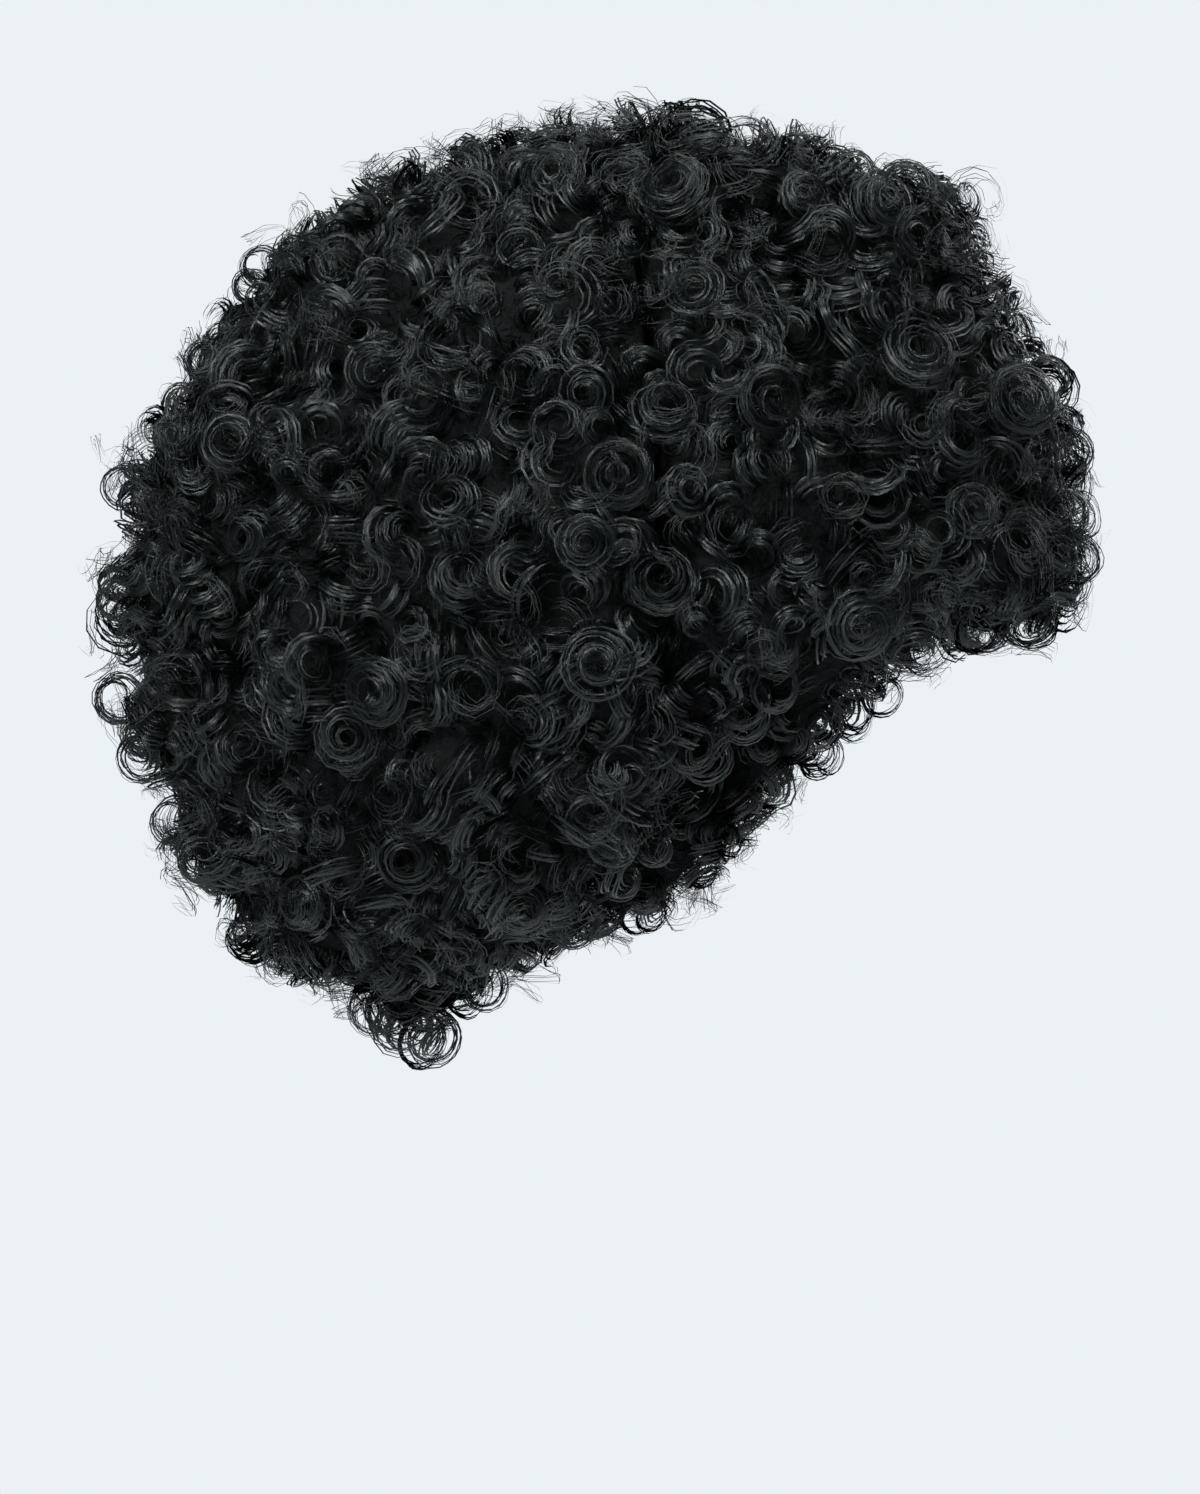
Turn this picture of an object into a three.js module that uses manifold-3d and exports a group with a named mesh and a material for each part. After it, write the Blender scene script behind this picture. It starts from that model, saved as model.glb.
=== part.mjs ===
// An afro wig in its worn form, in millimetres: a thin cap with an elastic rim, and tight curls in zones round it.
// +Z is up, the open face looks along -Y, and +X is the wearer's left.
// The origin is the point where the cap sits on the top of the head.
import * as THREE from "three";
import { mergeVertices } from "three/addons/utils/BufferGeometryUtils.js";
import Module from "manifold-3d";

const wasm = await Module();
wasm.setup();

// The head that the wig fits
const headWidth = 156;
const headLength = 194;
const crownHeight = 98; // from the head's widest level up to its top
const neckWidth = 118;
const neckLength = 146;
const neckDrop = 112; // from the widest level down to the neck

// The cap and its elastic rim
const capWall = 1.6;
const rimWidth = 11;
const rimWall = 1.2;
const fitGap = 0.4; // between the cap and what lies on it, inside and outside

// The ball of hair, up to the ends of its curls
const hairRadius = 166;
const hairBack = 23; // the ball's centre lies behind the top of the head
const hairDrop = 94; // and below it
const leastHair = 9; // the hair is never thinner than this round the head
const zoneGap = 0.8; // between neighbouring zones of hair

// The rolled locks that form the outside of the hair
const lockPitch = 46;
const lockRadius = 21;
const lockRise = 13; // how far a lock stands out of the hair behind it
const lockSink = 9; // how deep its root goes into the hair
const lockHollow = 9; // the depth of the dimple in its end
const lockFoot = 0.85; // the width of its root, as a share of its widest
const lockBelly = 0.4; // the height at which it is widest, as a share of lockRise
const lockMouth = 0.66; // the width of its open end, as a share of its widest
const lockLean = 13; // in degrees, how far a lock leans from straight out
const lockVariety = 0.09; // how much the locks differ in size, as a share of lockRadius
const lockTurn = 13; // how fast the lean and size change from one lock to the next
const lockRoom = 0.35; // the least room between a lock's middle and the hair's edge, as a share of lockPitch

// How finely the solids are faceted
const facetsRound = 24;
const facetsDown = 8;
const domeRows = 6;
const neckRows = 3;
const lockSides = 5;
const farAway = 3 * hairRadius; // past every face of the wig

// Bearings run from 0 at the face to 180 at the nape, and are the same on both sides.
// The rim of the cap, as a drop below the top of the head, in shares of crownHeight
const capRim = [
  { bearing: 0, drop: 0.6 },
  { bearing: 30, drop: 0.65 },
  { bearing: 55, drop: 0.88 },
  { bearing: 70, drop: 1.2 },
  { bearing: 80, drop: 1.2 },
  { bearing: 93, drop: 1.02 },
  { bearing: 110, drop: 1.12 },
  { bearing: 135, drop: 1.42 },
  { bearing: 180, drop: 1.55 },
];

// The ball's outline at each tilt from straight up, in shares of hairRadius
const outline = [
  { tilt: 0, front: 0.925, side: 0.925, back: 0.925 },
  { tilt: 25, front: 0.98, side: 0.93, back: 0.915 },
  { tilt: 42, front: 1.065, side: 0.94, back: 0.945 },
  { tilt: 60, front: 1.005, side: 0.945, back: 0.95 },
  { tilt: 78, front: 1.03, side: 0.95, back: 0.995 },
  { tilt: 95, front: 0.98, side: 0.95, back: 1.01 },
  { tilt: 120, front: 0.95, side: 0.955, back: 1.035 },
  { tilt: 140, front: 0.95, side: 0.97, back: 1.06 },
  { tilt: 165, front: 0.95, side: 1, back: 1.04 },
];

// The lower edge of the hair: the tilt that its outside ends at, and how far its inside comes below the ball's
// centre, in shares of hairRadius
const lowerEdge = [
  { bearing: 0, tilt: 95, inside: 0.07 },
  { bearing: 30, tilt: 96, inside: 0.07 },
  { bearing: 48, tilt: 99, inside: 0.1 },
  { bearing: 60, tilt: 107, inside: 0.2 },
  { bearing: 70, tilt: 116, inside: 0.4 },
  { bearing: 78, tilt: 132, inside: 0.58 },
  { bearing: 96, tilt: 142, inside: 0.7 },
  { bearing: 130, tilt: 156, inside: 0.84 },
  { bearing: 180, tilt: 161, inside: 0.88 },
];

// The zones that the hair is dressed in, apart from the crown, by their bearings towards the wearer's left
const crownTilt = 37;
const backSplit = 0.2; // the back ends and the nape begins this far below the ball's centre, in shares of hairRadius
const zones = [
  { name: "hair_fringe", from: -42, to: 42 },
  { name: "hair_temple_left", from: 42, to: 70 },
  { name: "hair_temple_right", from: -70, to: -42 },
  { name: "hair_side_left", from: 70, to: 130 },
  { name: "hair_side_right", from: -130, to: -70 },
  { name: "hair_back", from: 130, to: 230, part: "upper" },
  { name: "hair_nape", from: 130, to: 230, part: "lower" },
];

const hairMaterial = new THREE.MeshStandardMaterial({ color: 0x141416, roughness: 0.5, metalness: 0 });
const netMaterial = new THREE.MeshStandardMaterial({ color: 0x1b1a1b, roughness: 0.9, metalness: 0 });
const elasticMaterial = new THREE.MeshStandardMaterial({ color: 0x222123, roughness: 0.8, metalness: 0 });

const radians = THREE.MathUtils.degToRad;
const mix = THREE.MathUtils.lerp;
const hairCentre = new THREE.Vector3(0, hairBack, -hairDrop);
const pitchTilt = THREE.MathUtils.radToDeg(lockPitch / hairRadius); // the tilt from one row of locks to the next

// The value of a table's column between its rows, eased so that the surface has no kinks.
function lookUp(table, key, column, value) {
  const last = table.length - 1;
  if (value >= table[last][key]) return table[last][column];
  const next = table.findIndex((row) => row[key] > value);
  if (next <= 0) return table[0][column];
  const [low, high] = [table[next - 1], table[next]];
  const share = THREE.MathUtils.smoothstep(value, low[key], high[key]);
  return mix(low[column], high[column], share);
}

// The bearing from the face, 0 to 180, on either side
function fromFace(bearing) {
  const turned = Math.abs(bearing) % 360;
  return Math.min(turned, 360 - turned);
}

// The level direction of a bearing
function towards(bearing) {
  return new THREE.Vector3(Math.sin(radians(bearing)), -Math.cos(radians(bearing)), 0);
}

// The direction from the ball's centre at a bearing, tilted from straight up
function aim(bearing, tilt) {
  return towards(bearing)
    .multiplyScalar(Math.sin(radians(tilt)))
    .setZ(Math.cos(radians(tilt)));
}

// A closed geometry as a manifold solid
function solidOf(geometry) {
  const bare = new THREE.BufferGeometry().setAttribute("position", geometry.getAttribute("position"));
  if (geometry.index) bare.setIndex(geometry.index);
  const merged = mergeVertices(bare, 1e-3);
  return new wasm.Manifold(
    new wasm.Mesh({
      numProp: 3,
      vertProperties: merged.attributes.position.array,
      triVerts: new Uint32Array(merged.index.array),
    }),
  );
}

// A sphere's grid with each vertex put where place(bearing, row) says. Row 0 and the last row are its poles.
function shapedSphere(rows, place) {
  const grid = new THREE.SphereGeometry(1, facetsRound, rows);
  const { position, uv } = grid.attributes;
  for (let i = 0; i < position.count; i++) {
    const row = Math.round((1 - uv.getY(i)) * rows);
    const column = Math.round(uv.getX(i) * facetsRound) % facetsRound;
    const pole = row === 0 || row === rows;
    const point = place(pole ? 0 : (column * 360) / facetsRound, row);
    position.setXYZ(i, point.x, point.y, point.z);
  }
  return solidOf(grid);
}

// The half width and half length of the head at a height, with its surface moved out by offset
function headSize(height, offset) {
  const below = -height - crownHeight;
  if (below <= 0) {
    const round = Math.sqrt(Math.max(0, 1 - (below / (crownHeight + offset)) ** 2));
    return { halfWidth: (headWidth / 2 + offset) * round, halfLength: (headLength / 2 + offset) * round };
  }
  const share = THREE.MathUtils.smoothstep(below, 0, neckDrop);
  return {
    halfWidth: mix(headWidth, neckWidth, share) / 2 + offset,
    halfLength: mix(headLength, neckLength, share) / 2 + offset,
  };
}

// The point of the head's surface at a bearing and a height
function onHead(bearing, height, offset) {
  const { halfWidth, halfLength } = headSize(height, offset);
  const level = towards(bearing);
  return new THREE.Vector3(level.x * halfWidth, level.y * halfLength, height);
}

// The head and neck with their surface moved out by offset, down past the longest hair
function headForm(offset) {
  const lowest = -crownHeight - farAway / 2;
  return shapedSphere(domeRows + neckRows + 2, (bearing, row) => {
    if (row === 0) return new THREE.Vector3(0, 0, offset);
    if (row <= domeRows) {
      const rise = Math.cos((row / domeRows) * (Math.PI / 2));
      return onHead(bearing, -crownHeight + (crownHeight + offset) * rise, offset);
    }
    if (row <= domeRows + neckRows) {
      return onHead(bearing, -crownHeight - neckDrop * ((row - domeRows) / neckRows), offset);
    }
    if (row === domeRows + neckRows + 1) return onHead(bearing, lowest, offset);
    return new THREE.Vector3(0, 0, lowest);
  });
}

// All that is higher than the cap's rim, moved up by lift
function aboveRim(lift) {
  const inner = 0.2;
  const outer = 1.6;
  const rimHeight = (bearing) => lift - crownHeight * lookUp(capRim, "bearing", "drop", fromFace(bearing));
  const ring = (bearing, size, height) => onHead(bearing, -crownHeight, 0).multiplyScalar(size).setZ(height);
  return shapedSphere(4, (bearing, row) => {
    if (row === 0) return new THREE.Vector3(0, 0, crownHeight);
    if (row === 1) return ring(bearing, outer, crownHeight);
    if (row === 2) return ring(bearing, outer, rimHeight(bearing));
    if (row === 3) return ring(bearing, inner, rimHeight(bearing));
    return new THREE.Vector3(0, 0, lift - crownHeight);
  });
}

// The tilt that the hair's outside ends at
function lastTilt(bearing) {
  return lookUp(lowerEdge, "bearing", "tilt", fromFace(bearing));
}

// How far the curls reach from the ball's centre
function reach(bearing, tilt) {
  const forward = Math.cos(radians(bearing));
  const share = (side) => lookUp(outline, "tilt", side, tilt);
  return hairRadius * mix(share("side"), share(forward > 0 ? "front" : "back"), forward ** 2);
}

// The surface that the locks stand on, which stays leastHair outside the head
function onHair(bearing, tilt) {
  const point = aim(bearing, tilt)
    .multiplyScalar(reach(bearing, tilt) - lockRise)
    .add(hairCentre);
  const { halfWidth, halfLength } = headSize(Math.min(point.z, 0), leastHair + capWall + fitGap);
  const near = Math.hypot(point.x / halfWidth, point.y / halfLength);
  const inside = point.z < -crownHeight && near < 1;
  return inside ? point.set(point.x / near, point.y / near, point.z) : point;
}

// The ball of hair without its locks, closed below by a face that slopes in to the head
function hairBall() {
  const insideShare = 0.5; // the sloping face ends inside the head, which is cut away
  const insideHeight = (bearing) =>
    -hairDrop - hairRadius * lookUp(lowerEdge, "bearing", "inside", fromFace(bearing));
  return shapedSphere(facetsDown + 2, (bearing, row) => {
    if (row <= facetsDown) return onHair(bearing, (lastTilt(bearing) * row) / facetsDown);
    if (row === facetsDown + 1) {
      return onHead(bearing, -crownHeight, 0).multiplyScalar(insideShare).setZ(insideHeight(bearing));
    }
    return new THREE.Vector3(0, 0, insideHeight(90));
  });
}

// A rolled lock seen from its end: a stub with a soft shoulder and a dimple. Locks differ a little in size and
// lean, alike on both sides.
function lock(bearing, tilt) {
  const turn = radians(lockTurn * (tilt + fromFace(bearing) / 2));
  const radius = lockRadius * (1 + lockVariety * Math.sin(turn));
  const side = Math.sign(Math.sin(radians(bearing)));
  const leaning = aim(bearing + side * lockLean * Math.cos(turn), tilt + lockLean * Math.sin(2 * turn));
  const profile = [
    new THREE.Vector2(0, -lockSink),
    new THREE.Vector2(radius * lockFoot, -lockSink),
    new THREE.Vector2(radius, lockRise * lockBelly),
    new THREE.Vector2(radius * lockMouth, lockRise),
    new THREE.Vector2(0, lockRise - lockHollow),
  ];
  const roll = new THREE.LatheGeometry(profile, lockSides);
  roll.applyQuaternion(new THREE.Quaternion().setFromUnitVectors(new THREE.Vector3(0, 1, 0), leaning));
  const foot = onHair(bearing, tilt);
  roll.translate(foot.x, foot.y, foot.z);
  return solidOf(roll);
}

// Rows of locks over a stretch of bearings and tilts, left out where the hair has ended
function rowsOfLocks(from, to, firstTilt, endTilt) {
  const locks = [];
  const middle = (from + to) / 2;
  const longest = endTilt(middle);
  const rows = Math.max(1, Math.round((longest - firstTilt) / pitchTilt));
  for (let row = 0; row < rows; row++) {
    const tilt = firstTilt + ((row + 0.5) * (longest - firstTilt)) / rows;
    const arc = radians(to - from) * Math.sin(radians(tilt)) * reach(middle, tilt);
    const count = Math.max(1, Math.round(arc / lockPitch));
    for (let i = 0; i < count; i++) {
      const bearing = from + ((i + 0.5) * (to - from)) / count;
      const room = endTilt(bearing) - tilt;
      if (room > pitchTilt * lockRoom) locks.push(lock(bearing, tilt));
    }
  }
  return locks;
}

// The locks of the crown: one at the top, and rings round it
function crownLocks() {
  return [lock(0, 0), ...rowsOfLocks(0, 360, pitchTilt / 2, () => crownTilt)];
}

// A cone that opens upwards from the ball's centre, moved up by lift
function crownCone(lift) {
  const cone = new THREE.ConeGeometry(farAway * Math.tan(radians(crownTilt)), farAway, facetsRound);
  cone.rotateX(-Math.PI / 2);
  cone.translate(hairCentre.x, hairCentre.y, hairCentre.z + farAway / 2 + lift);
  return solidOf(cone);
}

// The upright wedge that a zone is cut from, half a gap inside its bearings, between two heights
function wedge(from, to, low, high) {
  const middle = (from + to) / 2;
  const tip = towards(middle)
    .multiplyScalar(zoneGap / 2 / Math.sin(radians((to - from) / 2)))
    .add(new THREE.Vector3(0, hairBack, 0));
  const corners = [from, middle, to].map((bearing) => towards(bearing).multiplyScalar(farAway).add(tip));
  const plan = new THREE.Shape([tip, ...corners].map(({ x, y }) => new THREE.Vector2(x, y)));
  const slab = new THREE.ExtrudeGeometry(plan, { depth: high - low, bevelEnabled: false });
  slab.translate(0, 0, low);
  return solidOf(slab);
}

function meshOf(name, solid, material) {
  const { vertProperties, triVerts } = solid.getMesh();
  const geometry = new THREE.BufferGeometry()
    .setAttribute("position", new THREE.BufferAttribute(new Float32Array(vertProperties), 3))
    .setIndex(new THREE.BufferAttribute(new Uint32Array(triVerts), 1));
  geometry.computeVertexNormals();
  const mesh = new THREE.Mesh(geometry, material);
  mesh.name = name;
  return mesh;
}

function together(solids) {
  return wasm.Manifold.union(solids);
}

function cap() {
  return headForm(capWall).subtract(headForm(0)).intersect(aboveRim(0));
}

function elasticRim() {
  const strip = headForm(-fitGap).subtract(headForm(-fitGap - rimWall));
  return strip.intersect(aboveRim(0)).subtract(aboveRim(rimWidth));
}

function hairZones() {
  const hollow = headForm(capWall + fitGap);
  const shell = hairBall();
  const splitHeight = -hairDrop - backSplit * hairRadius;
  const splitTilt = THREE.MathUtils.radToDeg(Math.PI / 2 + Math.asin(backSplit));
  const crown = together([shell, ...crownLocks()]).intersect(crownCone(zoneGap / Math.sin(radians(crownTilt))));
  const outsideCrown = shell.subtract(crownCone(0));
  const made = [meshOf("hair_crown", crown.subtract(hollow), hairMaterial)];
  for (const { name, from, to, part } of zones) {
    const low = part === "upper" ? splitHeight + zoneGap / 2 : -farAway;
    const high = part === "lower" ? splitHeight - zoneGap / 2 : farAway;
    const firstTilt = part === "lower" ? splitTilt : crownTilt;
    const endTilt = part === "upper" ? () => splitTilt : lastTilt;
    const rough = together([outsideCrown, ...rowsOfLocks(from, to, firstTilt, endTilt)]);
    const zone = rough.intersect(wedge(from, to, low, high)).subtract(crownCone(0)).subtract(hollow);
    made.push(meshOf(name, zone, hairMaterial));
  }
  return made;
}

const wig = new THREE.Group();
wig.name = "afro_wig";
wig.add(meshOf("cap", cap(), netMaterial));
wig.add(meshOf("cap_rim", elasticRim(), elasticMaterial));
wig.add(...hairZones());

export default wig;
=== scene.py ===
# %% [markdown]
# # A black afro wig
# The wig is a ball of tight curls on a thin stretch cap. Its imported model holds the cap, the elastic
# rim and eight zones of hair as plain solids. This lesson gives every zone its real curls, and finishes
# the cap and the rim. All sizes are in metres. +Z is up, the open front looks along -Y, and +X is the
# wearer's left.

# %% Load the frame
import math

import bmesh
import bpy
import numpy as np
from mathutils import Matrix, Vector
from mathutils.bvhtree import BVHTree


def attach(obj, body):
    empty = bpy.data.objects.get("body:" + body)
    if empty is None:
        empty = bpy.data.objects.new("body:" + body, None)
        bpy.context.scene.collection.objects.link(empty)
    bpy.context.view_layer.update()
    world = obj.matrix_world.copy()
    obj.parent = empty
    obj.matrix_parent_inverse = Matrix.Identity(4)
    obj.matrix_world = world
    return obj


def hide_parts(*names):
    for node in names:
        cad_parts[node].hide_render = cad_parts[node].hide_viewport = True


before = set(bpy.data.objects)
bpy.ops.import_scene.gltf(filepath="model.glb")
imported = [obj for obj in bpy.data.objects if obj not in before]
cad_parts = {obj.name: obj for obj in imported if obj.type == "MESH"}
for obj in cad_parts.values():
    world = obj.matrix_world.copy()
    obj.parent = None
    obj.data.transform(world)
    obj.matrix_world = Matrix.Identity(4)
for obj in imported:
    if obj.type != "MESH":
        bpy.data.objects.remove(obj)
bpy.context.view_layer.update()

# %% [markdown]
# ## The driving values
# The hair is a ball round a point behind and below the cap's seat. Its zones are those of the
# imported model, and each one gets its own curls, so that a zone can be looked at, moved or replaced by
# itself.

# %% Name the zones and the ball of hair
ZONES = [
    "hair_crown", "hair_fringe", "hair_temple_left", "hair_temple_right",
    "hair_side_left", "hair_side_right", "hair_back", "hair_nape",
]
BALL_CENTRE = Vector((0, 0.023, -0.094))
MM = 0.001
FULL_TURN = 6.283
print(len(ZONES), "zones of hair")

# %% [markdown]
# ## A tree written as a list of steps
# Geometry Nodes make everything that repeats here. A tree in the editor is a picture. In a script it
# reads best as steps, where each step names its node, its settings and what goes into it. The helper
# below adds one step and returns its first output that is switched on.

# %% A helper for node trees
class Tree:
    def __init__(self, name, sizes):
        self.group = bpy.data.node_groups.new(name, "GeometryNodeTree")
        sockets = self.group.interface
        sockets.new_socket("Geometry", in_out="INPUT", socket_type="NodeSocketGeometry")
        for label, value in sizes.items():
            kinds = {int: "Int", str: "String", bpy.types.Material: "Material"}
            kind = "NodeSocket" + kinds.get(type(value), "Float")
            sockets.new_socket(label, in_out="INPUT", socket_type=kind).default_value = value
        sockets.new_socket("Geometry", in_out="OUTPUT", socket_type="NodeSocketGeometry")
        self.start = self.group.nodes.new("NodeGroupInput")

    def given(self, label):
        return self.start.outputs[label]

    def fill(self, socket, value):
        if isinstance(value, bpy.types.NodeSocket):
            self.group.links.new(value, socket)
        else:
            socket.default_value = value

    def step(self, kind, inputs, output=None, **settings):
        node = self.group.nodes.new(kind)
        for name, value in settings.items():
            setattr(node, name, value)
        if isinstance(inputs, dict):
            for name, value in inputs.items():
                self.fill(next(s for s in node.inputs if s.name == name and s.enabled), value)
        else:
            for socket, value in zip(node.inputs, inputs):
                self.fill(socket, value)
        if output:
            return next(s for s in node.outputs if s.name == output and s.enabled)
        return next(s for s in node.outputs if s.enabled)

    def maths(self, operation, *values):
        return self.step("ShaderNodeMath", values, operation=operation)

    def vectors(self, operation, *values):
        node_output = "Value" if operation == "DOT_PRODUCT" else "Vector"
        return self.step("ShaderNodeVectorMath", values, node_output, operation=operation)

    def scaled(self, vector, by):
        return self.step("ShaderNodeVectorMath", {"Vector": vector, "Scale": by}, operation="SCALE")

    def random(self, low, high, seed):
        kind = "FLOAT_VECTOR" if isinstance(low, tuple) else "FLOAT"
        return self.step("FunctionNodeRandomValue", {"Min": low, "Max": high, "Seed": seed}, data_type=kind)

    def keep(self, geometry, name, value, kind="FLOAT"):
        stored = {"Geometry": geometry, "Name": name, "Value": value}
        return self.step("GeometryNodeStoreNamedAttribute", stored, data_type=kind, domain="POINT")

    def kept(self, name, kind="FLOAT"):
        return self.step("GeometryNodeInputNamedAttribute", {"Name": name}, data_type=kind)

    def end(self, geometry):
        last = self.group.nodes.new("NodeGroupOutput")
        self.group.links.new(geometry, last.inputs["Geometry"])


print("the helper is ready")

# %% [markdown]
# ## What hair looks like close up
# A lock of synthetic fibre is near black. What the eye reads as hair is the fine light and dark along
# its length, and a soft gloss that runs across it. The light streaks are partly a random tone of the
# fibres and partly painted sheen, and they are also glossier. So the streaks follow each strand: they
# come from two attributes that the strands carry, one along and one across, and not from the room. One
# shader group makes them for every hair finish.

# %% A shader group for streaks along a strand
def shader_group(name, inputs, outputs):
    group = bpy.data.node_groups.new(name, "ShaderNodeTree")
    for label, value in inputs.items():
        kind = "NodeSocketVector" if isinstance(value, tuple) else "NodeSocketFloat"
        group.interface.new_socket(label, in_out="INPUT", socket_type=kind).default_value = value
    for label in outputs:
        group.interface.new_socket(label, in_out="OUTPUT", socket_type="NodeSocketFloat")
    return group, group.nodes.new("NodeGroupInput"), group.nodes.new("NodeGroupOutput")


def join(group, source, target):
    group.links.new(source, target)


def streak_group():
    group, given, made = shader_group(
        "fibre_streaks", {"Place": (0.0, 0.0, 0.0), "Fineness": 6.0}, ["Streak", "Fibre"]
    )
    fine = group.nodes.new("ShaderNodeTexNoise")
    fine.inputs["Detail"].default_value = 3
    fine.inputs["Roughness"].default_value = 0.6
    join(group, given.outputs["Place"], fine.inputs["Vector"])
    join(group, given.outputs["Fineness"], fine.inputs["Scale"])
    ramp = group.nodes.new("ShaderNodeMapRange")
    ramp.inputs["From Min"].default_value = 0.4
    ramp.inputs["From Max"].default_value = 0.62
    join(group, fine.outputs["Fac"], ramp.inputs["Value"])
    join(group, ramp.outputs["Result"], made.inputs["Streak"])
    join(group, fine.outputs["Fac"], made.inputs["Fibre"])
    return group


STREAKS = streak_group()
print("the streak group has", len(STREAKS.nodes), "nodes")

# %% [markdown]
# There are three finishes. The curls are dark, with a gloss along each fibre, and their light streaks are
# partly painted sheen. The stray hairs are painted a little lighter, a painted sheen for the light that
# single hairs let through. The depth under the curls is matt and nearly black, with a tangle for its bump.
# A number that is the same everywhere, such as the gloss, is set on the shader's own socket.

# %% Three finishes
def new_material(name):
    material = bpy.data.materials.new(name)
    material.use_nodes = True
    nodes = material.node_tree.nodes
    return material, nodes, nodes["Principled BSDF"], lambda a, b: material.node_tree.links.new(a, b)


def attribute(nodes, name):
    node = nodes.new("ShaderNodeAttribute")
    node.attribute_name = name
    return node


ACROSS_SCALE = 1.1
STRAND_SHIFT = 40.0


def strand_material(name, dark, light, rough_low, rough_high, gloss):
    material, nodes, shader, link = new_material(name)
    place = nodes.new("ShaderNodeCombineXYZ")
    across = nodes.new("ShaderNodeMath")
    across.operation = "MULTIPLY_ADD"
    across.inputs[1].default_value = ACROSS_SCALE
    link(attribute(nodes, "across").outputs["Fac"], across.inputs[0])
    tone = attribute(nodes, "tone")
    shift = nodes.new("ShaderNodeMath")
    shift.operation = "MULTIPLY"
    shift.inputs[1].default_value = STRAND_SHIFT
    link(tone.outputs["Fac"], shift.inputs[0])
    link(shift.outputs["Value"], across.inputs[2])
    link(attribute(nodes, "along").outputs["Fac"], place.inputs["X"])
    link(across.outputs["Value"], place.inputs["Y"])
    streaks = nodes.new("ShaderNodeGroup")
    streaks.node_tree = STREAKS
    streaks.inputs["Fineness"].default_value = 2.2
    link(place.outputs["Vector"], streaks.inputs["Place"])
    # The colour mix: its light end is partly a random fibre tone and partly painted sheen along each
    # strand, stronger on high-tone strands.
    sheen_and_tone = nodes.new("ShaderNodeMath")
    sheen_and_tone.operation = "MULTIPLY"
    link(streaks.outputs["Streak"], sheen_and_tone.inputs[0])
    link(tone.outputs["Fac"], sheen_and_tone.inputs[1])
    colour = nodes.new("ShaderNodeMix")
    colour.data_type = "RGBA"
    colour.inputs[6].default_value = (*dark, 1)
    colour.inputs[7].default_value = (*light, 1)
    link(sheen_and_tone.outputs["Value"], colour.inputs["Factor"])
    link(colour.outputs[2], shader.inputs["Base Color"])
    rough = nodes.new("ShaderNodeMapRange")
    rough.inputs["To Min"].default_value = rough_high
    rough.inputs["To Max"].default_value = rough_low
    link(streaks.outputs["Streak"], rough.inputs["Value"])
    link(rough.outputs["Result"], shader.inputs["Roughness"])
    bump = nodes.new("ShaderNodeBump")
    bump.inputs["Strength"].default_value = 0.7
    bump.inputs["Distance"].default_value = 0.4 * MM
    link(streaks.outputs["Fibre"], bump.inputs["Height"])
    link(bump.outputs["Normal"], shader.inputs["Normal"])
    shader.inputs["Specular IOR Level"].default_value = gloss
    return material


def tangle_material():
    material, nodes, shader, link = new_material("hair_depth")
    where = nodes.new("ShaderNodeTexCoord")
    tangle = nodes.new("ShaderNodeTexNoise")
    tangle.inputs["Scale"].default_value = 160
    tangle.inputs["Detail"].default_value = 6
    tangle.inputs["Distortion"].default_value = 2.5
    link(where.outputs["Object"], tangle.inputs["Vector"])
    colour = nodes.new("ShaderNodeMix")
    colour.data_type = "RGBA"
    colour.inputs[6].default_value = (0.0015, 0.0015, 0.0016, 1)
    colour.inputs[7].default_value = (0.006, 0.006, 0.0065, 1)
    link(tangle.outputs["Fac"], colour.inputs["Factor"])
    link(colour.outputs[2], shader.inputs["Base Color"])
    bump = nodes.new("ShaderNodeBump")
    bump.inputs["Strength"].default_value = 1
    bump.inputs["Distance"].default_value = 3 * MM
    link(tangle.outputs["Fac"], bump.inputs["Height"])
    link(bump.outputs["Normal"], shader.inputs["Normal"])
    shader.inputs["Roughness"].default_value = 0.8
    shader.inputs["Specular IOR Level"].default_value = 0.15
    return material


# Hair colours: the light end of each streak is partly a random fibre tone and partly painted sheen.
CURL_DARK = (0.0008, 0.0016, 0.0017)
CURL_TONE_AND_SHEEN = (0.0052, 0.0088, 0.0093)
# The stray colours are painted lighter than the curls' colours, as a painted sheen of the light through
# single hairs.
STRAY_DARK = (0.0035, 0.0042, 0.0042)
STRAY_TONE_AND_SHEEN = (0.012, 0.0145, 0.015)
CURL_FINISH = strand_material("hair_curls", CURL_DARK, CURL_TONE_AND_SHEEN, 0.19, 0.38, 0.42)
STRAY_FINISH = strand_material("hair_strays", STRAY_DARK, STRAY_TONE_AND_SHEEN, 0.3, 0.45, 0.5)
DEPTH_FINISH = tangle_material()
print("hair finishes:", CURL_FINISH.name, STRAY_FINISH.name, DEPTH_FINISH.name)

# %% [markdown]
# ## The depth of the hair
# Between the curls one looks into hair that gets no light. It is a closed dark body under the curls,
# one for each zone, with the zone's own form. The zone's solid is copied and its loose triangles are
# merged. A voxel remesh then gives it one even skin, and smoothing takes the rolled locks back to a
# soft swelling.
#
# Curls gather into tufts with dark gaps between them. A small tree raises some places and sinks others
# by a noise. It also sets the outer side back, to make room for the curls. It leaves alone what faces
# sideways, so that no light falls through where two zones meet.

# %% Make the depth of each zone
DEPTH_VOXEL = 7.5 * MM
DEPTH_SET_BACK = 3 * MM
SMOOTHING = 8


def merged_copy(names):
    edit = bmesh.new()
    for name in names:
        edit.from_mesh(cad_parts[name].data)
    bmesh.ops.remove_doubles(edit, verts=edit.verts, dist=0.01 * MM)
    mesh = bpy.data.meshes.new("merged")
    edit.to_mesh(mesh)
    edit.free()
    return mesh


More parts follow.
